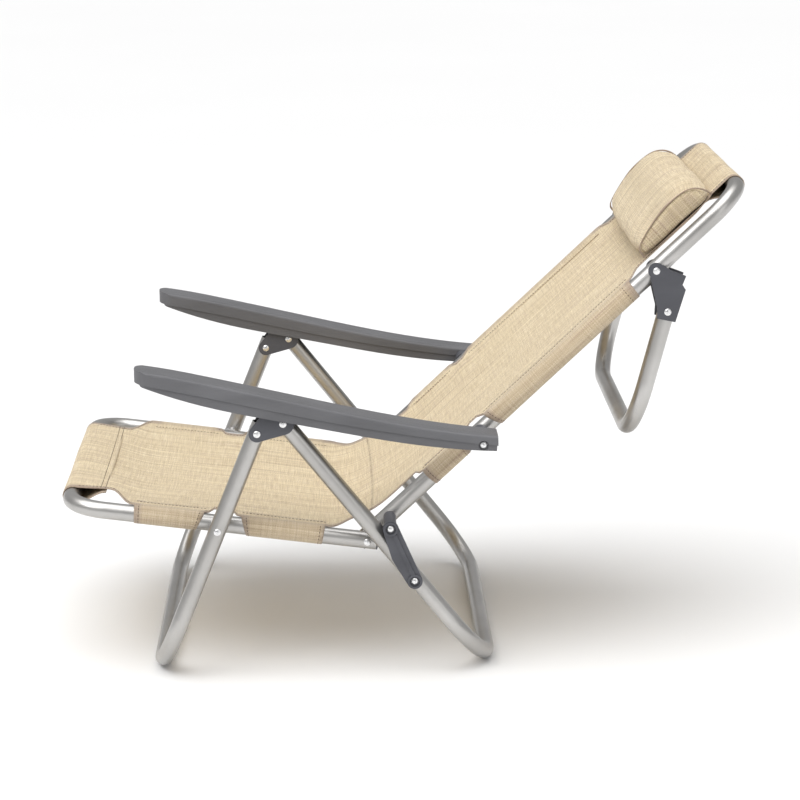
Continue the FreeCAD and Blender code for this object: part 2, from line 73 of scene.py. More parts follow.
HINGE = side_point("back_recline")
ARM_PIVOT = side_point("armrest_fold")
PROP_PIVOT = side_point("prop_swing")
SEAT_PIVOT = side_point("seat_fold")
SEAT_X, seat_low, seat_high = frame_bar("seat_frame")
BACK_X, back_low, back_high = frame_bar("back_frame")
SEAT_BAR = Vector((seat_low.y + TUBE_R, seat_high.z - TUBE_R))
BACK_BAR = Vector((back_high.y - TUBE_R, back_high.z - TUBE_R))
SEAT_LENGTH = (SEAT_BAR - HINGE).length
BACK_LENGTH = (BACK_BAR - HINGE).length
SEAT_WAY = (SEAT_BAR - HINGE).normalized()
BACK_WAY = (BACK_BAR - HINGE).normalized()
SEAT_UP = Vector((SEAT_WAY.y, -SEAT_WAY.x))
BACK_UP = Vector((-BACK_WAY.y, BACK_WAY.x))

CLOTH_T = 0.0011
CLOTH_R = TUBE_R + 0.0005             # inner face of the cloth round a tube
SLEEVE_INSET = 0.027                  # sleeve seam inside the tube axis
ROW = 0.006                           # mesh spacing along and across the cloth
COLUMN = 0.0085


# ---- small helpers ----------------------------------------------------------------------------
def lerp(a, b, t):
    return a + (b - a) * t


def smooth(t):
    t = min(max(t, 0.0), 1.0)
    return t * t * (3.0 - 2.0 * t)


def seat_at(distance, height=0.0):
    """Side-view point along the seat from the back hinge, raised off the tube axis."""
    return HINGE + SEAT_WAY * distance + SEAT_UP * height


def back_at(distance, height=0.0):
    return HINGE + BACK_WAY * distance + BACK_UP * height


def solid3(x, p):
    return Vector((x, p.x, p.y))


def mesh_object(name, verts, faces, material, shade_smooth=True):
    mesh = bpy.data.meshes.new(name)
    mesh.from_pydata([tuple(v) for v in verts], [], faces)
    mesh.materials.append(material)
    if shade_smooth:
        mesh.polygons.foreach_set("use_smooth", [True] * len(mesh.polygons))
    mesh.update()
    piece = bpy.data.objects.new(name, mesh)
    bpy.context.scene.collection.objects.link(piece)
    return piece


def apply_modifiers(piece):
    """Turns the piece's modifiers into plain mesh."""
    graph = bpy.context.evaluated_depsgraph_get()
    graph.update()
    made = bpy.data.meshes.new_from_object(piece.evaluated_get(graph))
    piece.modifiers.clear()
    old = piece.data
    piece.data = made
    bpy.data.meshes.remove(old)


# ---- materials --------------------------------------------------------------------------------
class Shader:
    """A material with one Principled shader, and short calls for its nodes."""

    def __init__(self, name, roughness=0.5, metallic=0.0, **sockets):
        self.material = bpy.data.materials.new(name)
        self.material.use_nodes = True
        self.tree = self.material.node_tree
        self.shader = self.tree.nodes["Principled BSDF"]
        self.shader.inputs["Roughness"].default_value = roughness
        self.shader.inputs["Metallic"].default_value = metallic
        for key, value in sockets.items():
            self.shader.inputs[key.replace("_", " ")].default_value = value

    def add(self, kind, inputs=None, **settings):
        made = self.tree.nodes.new(kind)
        for key, value in settings.items():
            setattr(made, key, value)
        for key, value in (inputs or {}).items():
            self.put(made.inputs[key], value)
        return made

    def put(self, socket, value):
        if isinstance(value, bpy.types.NodeSocket):
            self.tree.links.new(value, socket)
        else:
            socket.default_value = value

    def math(self, operation, a, b=None, c=None):
        made = self.add("ShaderNodeMath", operation=operation)
        for index, value in enumerate((a, b, c)):
            if value is not None:
                self.put(made.inputs[index], value)
        return made.outputs[0]

    def mix(self, factor, a, b, blend="MIX"):
        made = self.add("ShaderNodeMix", data_type="RGBA", blend_type=blend)
        self.put(made.inputs[0], factor)
        self.put(made.inputs[6], a)
        self.put(made.inputs[7], b)
        return made.outputs[2]

    def noise(self, vector, scale, detail=2.0, roughness=0.5):
        made = self.add("ShaderNodeTexNoise", {"Scale": scale, "Detail": detail, "Roughness": roughness})
        self.put(made.inputs["Vector"], vector)
        return made.outputs["Fac"]

    def ramp(self, factor, stops):
        made = self.add("ShaderNodeValToRGB", {"Fac": factor})
        while len(made.color_ramp.elements) < len(stops):
            made.color_ramp.elements.new(0.5)
        for element, (place, colour) in zip(made.color_ramp.elements, stops):
            element.position = place
            element.color = colour if len(colour) == 4 else (*colour, 1.0)
        return made.outputs["Color"]

    def coordinates(self, output="Object", scale=(1, 1, 1)):
        place = self.add("ShaderNodeTexCoord").outputs[output]
        return self.add("ShaderNodeMapping", {"Vector": place, "Scale": scale}).outputs[0]

    def bump(self, height, distance, strength=1.0):
        made = self.add("ShaderNodeBump", {"Height": height, "Distance": distance, "Strength": strength})
        self.tree.links.new(made.outputs[0], self.shader.inputs["Normal"])

    def colour(self, value):
        self.put(self.shader.inputs["Base Color"], value)

    def rough(self, value):
        self.put(self.shader.inputs["Roughness"], value)


def tube_metal():
    """Satin anodised aluminium: faint cloudiness, fine draw lines and rubbed spots."""
    s = Shader("satin_aluminium", metallic=1.0)
    place = s.coordinates()
    cloud = s.noise(place, 9.0, 3.0)
    fine = s.noise(place, 900.0)
    rub = s.noise(place, 55.0, 4.0, 0.7)
    s.colour(s.ramp(cloud, [(0.30, (0.40, 0.39, 0.375)), (0.70, (0.53, 0.52, 0.505))]))
    wear = s.ramp(rub, [(0.55, (0.27, 0.27, 0.27)), (0.75, (0.42, 0.42, 0.42))])
    s.rough(s.mix(0.30, wear, fine))
    s.bump(s.math("ADD", s.math("MULTIPLY", fine, 0.5), rub), 0.00004)
    return s.material


def rivet_metal():
    s = Shader("bright_rivet", roughness=0.24, metallic=1.0)
    scuff = s.noise(s.coordinates(), 420.0, 4.0, 0.7)
    s.colour(s.ramp(scuff, [(0.35, (0.62, 0.62, 0.63)), (0.6, (0.86, 0.86, 0.86))]))
    s.rough(s.ramp(scuff, [(0.3, (0.18, 0.18, 0.18)), (0.7, (0.38, 0.38, 0.38))]))
    s.bump(scuff, 0.00005)
    return s.material


def moulded_plastic(name, dark, light, grain):
    """Moulded plastic: fine spark grain, soft flow marks and paler rubbed spots."""
    s = Shader(name, roughness=0.48)
    place = s.coordinates()
    grain_noise = s.noise(place, grain, 2.0)
    flow = s.noise(s.coordinates(scale=(1.0, 0.25, 1.0)), 30.0, 4.0)
    base = s.ramp(flow, [(0.3, dark), (0.7, light)])
    rub = s.ramp(s.noise(place, 120.0, 6.0, 0.75), [(0.62, (0, 0, 0)), (0.80, (1, 1, 1))])
    s.colour(s.mix(s.math("MULTIPLY", rub, 0.25), base, tuple(1.5 * c for c in light[:3]) + (1.0,)))
    s.rough(s.ramp(grain_noise, [(0.3, (0.42, 0.42, 0.42)), (0.7, (0.58, 0.58, 0.58))]))
    s.bump(grain_noise, 0.00012)
    return s.material


THREAD = 0.00155                      # thread spacing of the sling's weave


def woven_cloth(name, creams, pinks, edge_tone):
    """Plain weave of slubbed yarns; its UVs are metres across and along the cloth."""
    s = Shader(name, roughness=0.86, Sheen_Weight=0.2, Sheen_Roughness=0.5)
    place = s.add("ShaderNodeTexCoord").outputs["UV"]
    parts = s.add("ShaderNodeSeparateXYZ", {"Vector": place}).outputs
    across = s.math("MULTIPLY", parts[0], 1.0 / THREAD)
    along = s.math("MULTIPLY", parts[1], 1.0 / THREAD)
    warp_up = s.math("ABSOLUTE", s.math("SINE", s.math("MULTIPLY", across, math.pi)))
    weft_up = s.math("ABSOLUTE", s.math("SINE", s.math("MULTIPLY", along, math.pi)))
    squares = s.math("ADD", s.math("FLOOR", across), s.math("FLOOR", along))
    over = s.math("PINGPONG", squares, 1.0)

    def yarns(scale, seed, slubs):
        """Colour of one set of yarns: each yarn keeps its shade along its run."""
        stretched = s.add("ShaderNodeMapping", {"Vector": place, "Scale": scale, "Location": (seed, seed, 0)})
        shade = s.noise(stretched.outputs[0], 1.0, 2.0, 0.6)
        slub = s.noise(stretched.outputs[0], 0.45, 3.0, 0.75)
        base = s.ramp(shade, [(0.30, creams[0]), (0.5, creams[1]), (0.70, creams[2])])
        return s.mix(s.ramp(slub, [(0.53, (0, 0, 0)), (0.66, (slubs, slubs, slubs))]), base, pinks)

    warp = yarns((1.0 / (THREAD * 1.2), 9.0, 1.0), 3.7, 0.80)
    weft = yarns((22.0, 1.0 / (THREAD * 1.2), 1.0), 8.1, 0.35)
    cloth = s.mix(over, warp, weft)
    streaks = s.add("ShaderNodeMapping", {"Vector": place, "Scale": (190.0, 4.0, 1.0)}).outputs[0]
    tint = s.ramp(s.noise(streaks, 1.0, 4.0, 0.7), [(0.38, (0.80, 0.77, 0.74)), (0.58, (1.0, 1.0, 1.0))])
    cloth = s.mix(1.0, cloth, tint, "MULTIPLY")
    height = s.add("ShaderNodeMix", data_type="FLOAT", inputs={0: over, 2: warp_up, 3: weft_up}).outputs[0]
    edge = s.add("ShaderNodeAttribute", attribute_name="edge").outputs["Fac"]
    toned = s.mix(s.math("MULTIPLY", edge, 0.85), cloth, s.mix(0.75, cloth, edge_tone))
    # painted shade: the colour is darkened where the weave's height is low, in the hollows between threads
    weave_hollow_shade = s.ramp(height, [(0.0, (0.50, 0.46, 0.43)), (0.5, (1.0, 1.0, 1.0))])
    s.colour(s.mix(1.0, toned, weave_hollow_shade, "MULTIPLY"))
    s.bump(height, 0.0003)
    return s.material


def thread_material(name, colour):
    s = Shader(name, roughness=0.8)
    twist = s.noise(s.coordinates(), 1500.0, 2.0)
    s.colour(s.ramp(twist, [(0.3, tuple(c * 0.7 for c in colour)), (0.7, colour)]))
    s.bump(twist, 0.00008)
    return s.material


def floor_material():
    s = Shader("pale_floor", roughness=0.9)
    cloud = s.noise(s.coordinates(), 0.6)
    s.colour(s.ramp(cloud, [(0.0, (0.88, 0.88, 0.88)), (1.0, (0.91, 0.91, 0.91))]))
    return s.material


CREAMS = ((0.54, 0.42, 0.25), (0.76, 0.63, 0.41), (0.93, 0.82, 0.60))
PINKS = (0.46, 0.31, 0.25, 1.0)
EDGE_TONE = (0.30, 0.22, 0.19, 1.0)

TUBE_METAL = tube_metal()
RIVET_METAL = rivet_metal()
ARM_PLASTIC = moulded_plastic("armrest_plastic", (0.095, 0.095, 0.101), (0.128, 0.128, 0.136), 2600.0)
SLATE_PLASTIC = moulded_plastic("slate_plastic", (0.052, 0.053, 0.062), (0.076, 0.078, 0.090), 1800.0)
SLING_CLOTH = woven_cloth("sling_cloth", CREAMS, PINKS, EDGE_TONE)
PILLOW_CLOTH = woven_cloth("pillow_cloth", CREAMS, PINKS, EDGE_TONE)
SEAM_CLOTH = thread_material("seam_roll", (0.36, 0.27, 0.20))
THREAD_BROWN = thread_material("stitch_thread", (0.11, 0.075, 0.055))

SLOT_MATERIAL = {"aluminium_tube": TUBE_METAL, "rivet_metal": RIVET_METAL,
                 "armrest_plastic": ARM_PLASTIC, "slate_plastic": SLATE_PLASTIC}


def dress_frame():
    """Gives each CAD node the finished material of its slot."""
    for part in frame["record"]["subparts"]:
        material = SLOT_MATERIAL.get(part["material_slot"])
        if material is None:
            continue
        for slot in frame["nodes"][part["node"]].material_slots:
            slot.material = material


# ---- the sling ----------------------------------------------------------------------------------
# Each sleeve or cut-out is a stretch along the cloth, as distances from the back hinge.
SEAT_SLEEVES = [(0.050, 0.168), (0.208, 0.306)]
BACK_SLEEVES = [(0.110, 0.184), (0.218, 0.472)]
BEND_SEAT = 0.050                     # where the cloth leaves the seat's line and joins the back's
BEND_BACK = 0.105
FRONT_POCKET_X = 0.183                # pocket half widths
TOP_POCKET_X = 0.163
FRONT_WAIST_X = 0.174                 # the cut-outs at the seat's front corners reach in to here
FRONT_WAIST_AT = 0.336
SEAT_CUT = 0.024                      # depth of the cut-outs between the sleeves
BACK_CUT = 0.022
SEAT_END_CUT = 0.030                  # depth of the cut-outs beyond the end sleeves
BACK_END_CUT = 0.026
END_CUT_REACH = 0.016                 # these cut-outs reach full depth over this length
TOP_CUT_REACH = 0.020
TOP_TAPER_AT = 0.585                  # the back cloth narrows from here to its top pocket
TOP_TAPER_REACH = 0.045
POCKET_FLAP = 0.042                   # the pocket's cloth runs back under the panel this far
SAG = 0.012
HEM = 0.010                           # width of the hem bands
ARCH = 0.010                          # a sleeve's inner end is cut back this much under the tube
ARCH_REACH = 0.022                    # the cut dies out this far along the sleeve
SLEEVE_TURN = math.radians(205)       # how far a sleeve wraps round its tube
SLEEVE_FLAP = 0.028                   # flat cloth from there in to the seam
POCKET_TURN = math.radians(185)       # how far a pocket wraps round its bar
STRAIGHT_END = 0.25                   # arch share of the sleeve ends that face no pivot


class Row:
    """One line of cloth across the chair: where it is, which way is up, and how wide it is."""

    def __init__(self, point, up, half, tube_x, travel, sag, span=None, distance=0.0, way=None):
        self.point = point
        self.up = up
        self.half = half
        self.tube_x = tube_x
        self.travel = travel
        self.sag = sag
        self.span = span              # the sleeve that the row belongs to, as (start, end)
        self.arched = (STRAIGHT_END, STRAIGHT_END)
        self.distance = distance
        self.way = way


def sleeve_at(distance, sleeves):
    """The sleeve that a distance lies in, or None."""
    for start, end in sleeves:
        if start - 1e-6 <= distance <= end + 1e-6:
            return start, end
    return None


def dip(distance, start, end, depth, blunt=0.010):
    """How far a cut-out between two sleeves draws the cloth's edge in."""
    t = min(distance - start, end - distance)
    if t <= 0.0:
        return 0.0
    return depth * smooth(t / blunt)


def seat_half(distance):
    """Half width of the seat cloth at a distance from the back hinge."""
    first, last = SEAT_SLEEVES
    half = SEAT_X - dip(distance, first[1], last[0], SEAT_CUT)
    if distance > last[1]:
        half = lerp(SEAT_X, FRONT_WAIST_X, smooth((distance - last[1]) / (FRONT_WAIST_AT - last[1])))
        to_bar = smooth((distance - FRONT_WAIST_AT) / (SEAT_LENGTH - FRONT_WAIST_AT))
        half = lerp(half, FRONT_POCKET_X, to_bar)
    if distance < first[0]:
        half = lerp(SEAT_X, SEAT_X - SEAT_END_CUT, smooth((first[0] - distance) / END_CUT_REACH))
    return half


def back_half(distance):
    """Half width of the back cloth at a distance from the back hinge."""
    first, last = BACK_SLEEVES
    half = BACK_X - dip(distance, first[1], last[0], BACK_CUT)
    if distance > last[1]:
        half = BACK_X - BACK_END_CUT * smooth((distance - last[1]) / TOP_CUT_REACH)
        half = lerp(half, TOP_POCKET_X, smooth((distance - TOP_TAPER_AT) / TOP_TAPER_REACH))
    if distance < first[0]:
        half = lerp(BACK_X, BACK_X - BACK_END_CUT, smooth((first[0] - distance) / END_CUT_REACH))
    return half


def bend_point(t):
    """The loose stretch from the seat line to the back line, t from 0 to 1."""
    p0 = seat_at(BEND_SEAT, CLOTH_R)
    p3 = back_at(BEND_BACK, CLOTH_R)
    p1 = p0 - SEAT_WAY * 0.034
    p2 = p3 - BACK_WAY * 0.062
    u = 1.0 - t
    point = p0 * u ** 3 + p1 * 3 * u * u * t + p2 * 3 * u * t * t + p3 * t ** 3
    way = ((p1 - p0) * u * u + (p2 - p1) * 2 * u * t + (p3 - p2) * t * t).normalized()
    return point, Vector((-way.y, way.x))


BEND_STEPS = 30
BEND_POINTS = [bend_point(i / BEND_STEPS) for i in range(BEND_STEPS + 1)]
BEND_MID = BEND_STEPS // 2


def pocket_rows(bar, way, up, half, travel):
    """Rows round a frame's bar and back under the panel; way points from the panel to the bar."""
    rows = []
    turn_steps = 14
    for i in range(1, turn_steps + 1):
        angle = math.pi / 2 - POCKET_TURN * i / turn_steps
        out = way * math.cos(angle) + up * math.sin(angle)
        travel += CLOTH_R * POCKET_TURN / turn_steps
        rows.append(Row(bar + out * CLOTH_R, out, half, half, travel, 0.0))
    last = rows[-1]
    flap_steps = 7
    for i in range(1, flap_steps + 1):
        reach = POCKET_FLAP * i / flap_steps
        lift = (CLOTH_R * 2 - 0.0015) * smooth(reach / POCKET_FLAP)
        point = last.point - way * reach + up * lift
        travel += POCKET_FLAP / flap_steps
        rows.append(Row(point, -up, half, half, travel, 0.0))
    return rows


def arch_sleeves(rows, sleeves):
    """Rounds the sleeve ends that face each other across a pivot."""
    for row in rows:
        if row.span == sleeves[0]:
            row.arched = (STRAIGHT_END, 1.0)
        elif row.span == sleeves[1]:
            row.arched = (1.0, STRAIGHT_END)
    return rows


def seat_rows():
    """From the middle of the bend forward to the front bar's pocket."""
    rows = []
    travel = 0.0
    for i in range(BEND_MID, -1, -1):
        point, up = BEND_POINTS[i]
        if rows:
            travel += (point - rows[-1].point).length
        share = i / BEND_MID
        half = lerp(seat_half(0.055), seat_half(0.0), smooth(share * 1.6))
        rows.append(Row(point, up, half, SEAT_X, travel, SAG * (1.0 - 0.3 * share)))
    distance = BEND_SEAT
    while distance < SEAT_LENGTH - 1e-6:
        distance = min(distance + ROW, SEAT_LENGTH)
        travel += ROW
        front = smooth((SEAT_LENGTH - distance) / 0.10)
        rows.append(Row(seat_at(distance, CLOTH_R), SEAT_UP, seat_half(distance), SEAT_X, travel,
                        SAG * front, sleeve_at(distance, SEAT_SLEEVES), distance, SEAT_WAY))
    rows += pocket_rows(SEAT_BAR, SEAT_WAY, SEAT_UP, FRONT_POCKET_X, travel)
    return arch_sleeves(rows, SEAT_SLEEVES)


def back_rows():
    """From the middle of the bend up to the top bar's pocket."""
    rows = []
    travel = 0.0
    for i in range(BEND_MID, BEND_STEPS + 1):
        point, up = BEND_POINTS[i]
        if rows:
            travel += (point - rows[-1].point).length
        share = (i - BEND_MID) / (BEND_STEPS - BEND_MID)
        start = seat_half(0.0)
        half = lerp(start, back_half(0.0), smooth(share))
        if i == BEND_STEPS:
            half = back_half(BEND_BACK)
        rows.append(Row(point, up, half, BACK_X, travel, SAG * (0.7 + 0.3 * share)))
    distance = BEND_BACK
    while distance < BACK_LENGTH - 1e-6:
        distance = min(distance + ROW, BACK_LENGTH)
        travel += ROW
        top = smooth((BACK_LENGTH - distance) / 0.10)
        rows.append(Row(back_at(distance, CLOTH_R), BACK_UP, back_half(distance), BACK_X, travel,
                        SAG * top, sleeve_at(distance, BACK_SLEEVES), distance, BACK_WAY))
    rows += pocket_rows(BACK_BAR, BACK_WAY, BACK_UP, TOP_POCKET_X, travel)
    return arch_sleeves(rows, BACK_SLEEVES)


SLEEVE_STEPS = 14
FLAP_STEPS = 4                        # of these, the ones along the flat flap


def sleeve_arc(step):
    """Offset from the tube's top round its outside and back under to the seam, and the arc run."""
    arc_steps = SLEEVE_STEPS - FLAP_STEPS
    if step <= arc_steps:
        turned = SLEEVE_TURN * step / arc_steps
        angle = math.pi / 2 - turned
        return CLOTH_R * math.cos(angle), CLOTH_R * math.sin(angle), CLOTH_R * turned
    last_x, last_h, run = sleeve_arc(arc_steps)
    share = (step - arc_steps) / FLAP_STEPS
    end_x = -SLEEVE_INSET - 0.004
    end_h = CLOTH_R - 0.0016
    return lerp(last_x, end_x, share), lerp(last_h, end_h, share ** 0.8), run + share * SLEEVE_FLAP


def panel_height(row, x):
    """Height of the cloth's middle above a row's line: it sags between the side tubes."""
    across = x / row.half
    gap = row.half - abs(x)
    ripple = 0.0010 * noise.noise(Vector((x * 9.0, row.travel * 9.0, 1.3)))
    return CLOTH_T * 0.5 - row.sag * (1.0 - across * across) + ripple * smooth(gap / 0.03)


def sleeve_point(row, side, step):
    """A sleeve column's place; its ends are arched, shortest under the tube."""
    dx, dh, run = sleeve_arc(step)
    start, end = row.span
    under = ARCH * smooth(step / SLEEVE_STEPS * 1.6)
    at_start = smooth(1.0 - (row.distance - start) / ARCH_REACH) * row.arched[0]
    at_end = smooth(1.0 - (end - row.distance) / ARCH_REACH) * row.arched[1]
    shift = under * (at_start - at_end)
    place = row.point + row.up * (dh - CLOTH_R) + row.way * shift
    return solid3(side * (row.tube_x + dx), place), run


def hem_tone(row, gap):
    """Dark band along a free edge, and paler tone over the tubes."""
    if row.span:
        start, end = row.span
        return 1.0 if min(row.distance - start, end - row.distance) < HEM else 0.45
    return 1.0 if gap < HEM else 0.0


def cloth_mesh(name, rows):
    """One sheet: the panel's columns, and sleeve columns where a row has a sleeve."""
    columns = int(2 * SEAT_X / COLUMN)
    verts, faces, uvs, edge = [], [], [], []
    grid = {}

    def put(key, place, u, v, tone):
        grid[key] = len(verts)
        verts.append(place)
        uvs.append((u, v))
        edge.append(tone)

    for i, row in enumerate(rows):
        for j in range(columns + 1):
            x = row.half * (-1.0 + 2.0 * j / columns)
            gap = row.half - abs(x)
            place = solid3(x, row.point + row.up * panel_height(row, x))
            tone = hem_tone(row, gap) if gap < TUBE_R else 0.0
            put((i, j), place, x, row.travel, tone)
        if row.span:
            for side in (-1, 1):
                for step in range(1, SLEEVE_STEPS + 1):
                    place, run = sleeve_point(row, side, step)
                    put((i, side, step), place, side * (row.tube_x + run), row.travel, hem_tone(row, 0.0))
    for i in range(len(rows) - 1):
        for j in range(columns):
            faces.append((grid[i, j], grid[i, j + 1], grid[i + 1, j + 1], grid[i + 1, j]))
        if rows[i].span and rows[i].span == rows[i + 1].span:
            for side in (-1, 1):
                rim = 0 if side < 0 else columns
                for step in range(SLEEVE_STEPS):
                    a = grid[i, rim] if step == 0 else grid[i, side, step]
                    b = grid[i + 1, rim] if step == 0 else grid[i + 1, side, step]
                    c = grid[i + 1, side, step + 1]
                    d = grid[i, side, step + 1]
                    faces.append((d, c, b, a) if side > 0 else (a, b, c, d))
    piece = mesh_object(name, verts, faces, SLING_CLOTH)
    layer = piece.data.uv_layers.new(name="UVMap")
    for loop in piece.data.loops:
        layer.data[loop.index].uv = uvs[loop.vertex_index]
    tones = piece.data.attributes.new("edge", "FLOAT", "POINT")
    tones.data.foreach_set("value", edge)
    return piece


STITCH = 0.0034                       # stitch length, and the step from one stitch to the next
STITCH_STEP = 0.0046
STITCH_R = 0.00045


def cloth_place(rows, travel, x):
    """Point on the cloth's upper face at a way along it and across it."""
    index = next((i for i, row in enumerate(rows) if row.travel >= travel), len(rows) - 1)
    upper = rows[max(index, 1)]
    lower = rows[max(index, 1) - 1]
    share = (travel - lower.travel) / max(upper.travel - lower.travel, 1e-9)
    ends = [row.point + row.up * (panel_height(row, x) + CLOTH_T * 0.6) for row in (lower, upper)]
    return solid3(x, ends[0].lerp(ends[1], share)), solid3(0.0, upper.up)


def stitches(name, routes, body):
    """One mesh of short thread stitches; each route is a list of (place, up) pairs."""
    verts, faces = [], []
    for route in routes:
        spare = 0.0
        for (start, up), (end, _) in zip(route, route[1:]):
            span = (end - start).length
            way = (end - start) / span
            beside = way.cross(up).normalized()
            reach = spare
            while reach < span:
                middle = start + way * reach
                base = len(verts)
                tips = (middle - way * STITCH * 0.5, middle + way * STITCH * 0.5)
                girdle = (beside, up, -beside, -up)
                verts.append(tips[0] - up * STITCH_R)
                for along in (-0.3, 0.3):
                    verts.extend(middle + way * STITCH * along + g * STITCH_R for g in girdle)
                verts.append(tips[1] - up * STITCH_R)
                for k in range(4):
                    n = (k + 1) % 4
                    faces.append((base, base + 1 + n, base + 1 + k))
                    faces.append((base + 1 + k, base + 1 + n, base + 5 + n, base + 5 + k))
                    faces.append((base + 9, base + 5 + k, base + 5 + n))
                reach += STITCH_STEP
            spare = reach - span
    piece = mesh_object(name, verts, faces, THREAD_BROWN)
    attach(piece, body)


def cross_line(rows, travel, half):
    steps = 30
    return [cloth_place(rows, travel, lerp(-half, half, i / steps)) for i in range(steps + 1)]


def edge_line(rows, first, last, side, inset):
    """Route along one edge of the cloth, a little in from it."""
    chosen = [row for row in rows if first <= row.travel <= last]
    return [cloth_place(rows, row.travel, side * (row.half - inset)) for row in chosen]


def seam_line(rows, span, side, inset):
    """Route along a sleeve's seam, inside the tube."""
    chosen = [row for row in rows if row.span == span]
    return [cloth_place(rows, row.travel, side * (row.tube_x - inset)) for row in chosen]


def make_sling():
    """The cloth in two sheets that meet in the middle of the bend."""
    pieces = []
    for name, rows, sleeves, body, node in (
            ("sling_seat_cloth", seat_rows(), SEAT_SLEEVES, "seat", "seat_sling"),
            ("sling_back_cloth", back_rows(), BACK_SLEEVES, "back", "back_sling")):
        piece = cloth_mesh(name, rows)
        thick = piece.modifiers.new("thickness", "SOLIDIFY")
        thick.thickness = CLOTH_T
        thick.offset = 0.0
        apply_modifiers(piece)
        pieces.append(piece)
    seat_piece, back_piece = pieces
    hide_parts("seat_sling", "sling_bend")
    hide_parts("back_sling")
    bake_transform(seat_piece)
    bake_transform(back_piece)


def sleeve_hem(rows, span, side, at, inset):
    """Route round a sleeve near its end, over the tube's outside to its underside."""
    row = min((r for r in rows if r.span == span), key=lambda r: abs(r.distance - at - inset))
    centre = row.point - row.up * CLOTH_R
    route = []
    for step in range(1, SLEEVE_STEPS - 3):
        place, _ = sleeve_point(row, side, step)
        out = (place - solid3(side * row.tube_x, centre)).normalized()
        route.append((place + out * CLOTH_T * 0.6, out))
    return route


def travel_at(rows, distance):
    """Way along the cloth at a distance along its frame."""
    return next(row.travel for row in rows if row.way and row.distance >= distance - 1e-6)


def make_stitching():
    """Seams beside the tubes, hems along the cut-outs and double lines at the pockets."""
    for name, rows, sleeves, body, bar_at, pocket in (
            ("sling_seat_stitches", seat_rows(), SEAT_SLEEVES, "seat", SEAT_LENGTH, FRONT_POCKET_X),
            ("sling_back_stitches", back_rows(), BACK_SLEEVES, "back", BACK_LENGTH, TOP_POCKET_X)):
        routes = []
        for line in (POCKET_FLAP - 0.002, POCKET_FLAP + 0.004):
            travel = travel_at(rows, bar_at - line)
            routes.append(cross_line(rows, travel, pocket - HEM))
        firsts = [travel_at(rows, end) for _, end in sleeves]
        lasts = [travel_at(rows, sleeves[1][0]), travel_at(rows, bar_at - ROW)]
        for side in (-1, 1):
            for span in sleeves:
                routes.append(seam_line(rows, span, side, SLEEVE_INSET))
                for end, way in ((span[0], 1.0), (span[1], -1.0)):
                    routes.append(sleeve_hem(rows, span, side, end, way * HEM))
            for first, last in zip(firsts, lasts):
                routes.append(edge_line(rows, first, last, side, HEM * 0.8))
        stitches(name, routes, body)


# ---- the head pillow ------------------------------------------------------------------------------
PILLOW_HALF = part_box("head_pillow")[1].x
# Its outline at mid length: distances along the back frame and heights above its axis.
PILLOW_OUTLINE = [(0.506, 0.0150), (0.501, 0.020), (0.505, 0.031), (0.529, 0.0400), (0.565, 0.0465),
                  (0.598, 0.0465), (0.617, 0.0375), (0.626, 0.022), (0.620, 0.0150), (0.565, 0.0145)]
PILLOW_MIDDLE = (0.566, 0.028)
PILLOW_MESH = 0.005
PILLOW_END_IN = 0.0075                # the end faces lie this far inside the CAD's ends
PILLOW_THINS = 0.65                   # share of the half length where the ends start to thin
PILLOW_THINNED = 0.11
PILLOW_ROUND = 0.048                  # mean radius, which sizes the weave round the pillow
FILL_LIMIT = 0.002                    # the filling moves the cover at most this far
SEAM_IN = 0.0105                      # place of the end seams, in from the CAD's ends


def pillow_ring(steps):
    """The outline as a smooth closed curve, as (distance, height) pairs."""
    count = len(PILLOW_OUTLINE)
    ring = []
    for i in range(steps):
        at = i / steps * count
        k = int(at)
        t = at - k
        a, b, c, d = (PILLOW_OUTLINE[(k + n) % count] for n in (-1, 0, 1, 2))
        ring.append(tuple(0.5 * (2 * b[n] + (c[n] - a[n]) * t + (2 * a[n] - 5 * b[n] + 4 * c[n] - d[n]) * t * t
                                 + (3 * b[n] - a[n] - 3 * c[n] + d[n]) * t ** 3) for n in (0, 1)))
    return ring


def pillow_scale(x):
    """The filling thins towards the end seams."""
    end = smooth((abs(x) / PILLOW_HALF - PILLOW_THINS) / (1.0 - PILLOW_THINS))
    return 1.0 - PILLOW_THINNED * end


def fill_pillow(piece):
    """Blows the pillow up a little with cloth simulation, so that its cover pulls and creases."""
    start = [v.co.copy() for v in piece.data.vertices]
    cloth = piece.modifiers.new("filling", "CLOTH")
    settings = cloth.settings
    settings.quality = 6
    settings.mass = 0.3
    settings.tension_stiffness = 25.0
    settings.compression_stiffness = 25.0
    settings.bending_stiffness = 0.8
    settings.use_pressure = True
    settings.uniform_pressure_force = 4.0
    settings.effector_weights.gravity = 0.0
    scene = bpy.context.scene
    for number in range(1, 21):
        scene.frame_set(number)
    apply_modifiers(piece)
    scene.frame_set(1)
    for vertex, before in zip(piece.data.vertices, start):
        move = vertex.co - before
        if move.length > FILL_LIMIT:
            vertex.co = before + move.normalized() * FILL_LIMIT


def crease_pillow(piece):
    """Shallow puckers that run in from the end seams."""
    for vertex in piece.data.vertices:
        x = vertex.co.x
        near = smooth(1.0 - (PILLOW_HALF - abs(x)) / 0.05)
        side = Vector((vertex.co.y, vertex.co.z)) - back_at(*PILLOW_MIDDLE)
        turn = math.atan2(side.y, side.x)
        pucker = noise.noise(Vector((math.cos(turn) * 5.0, math.sin(turn) * 5.0, x * 3.0)))
        broad = noise.noise(Vector((x * 11.0, turn * 1.3, 4.0)))
        out = solid3(0.0, side.normalized())
        vertex.co += out * (0.0016 * near * pucker + 0.0014 * broad * (1.0 - near))


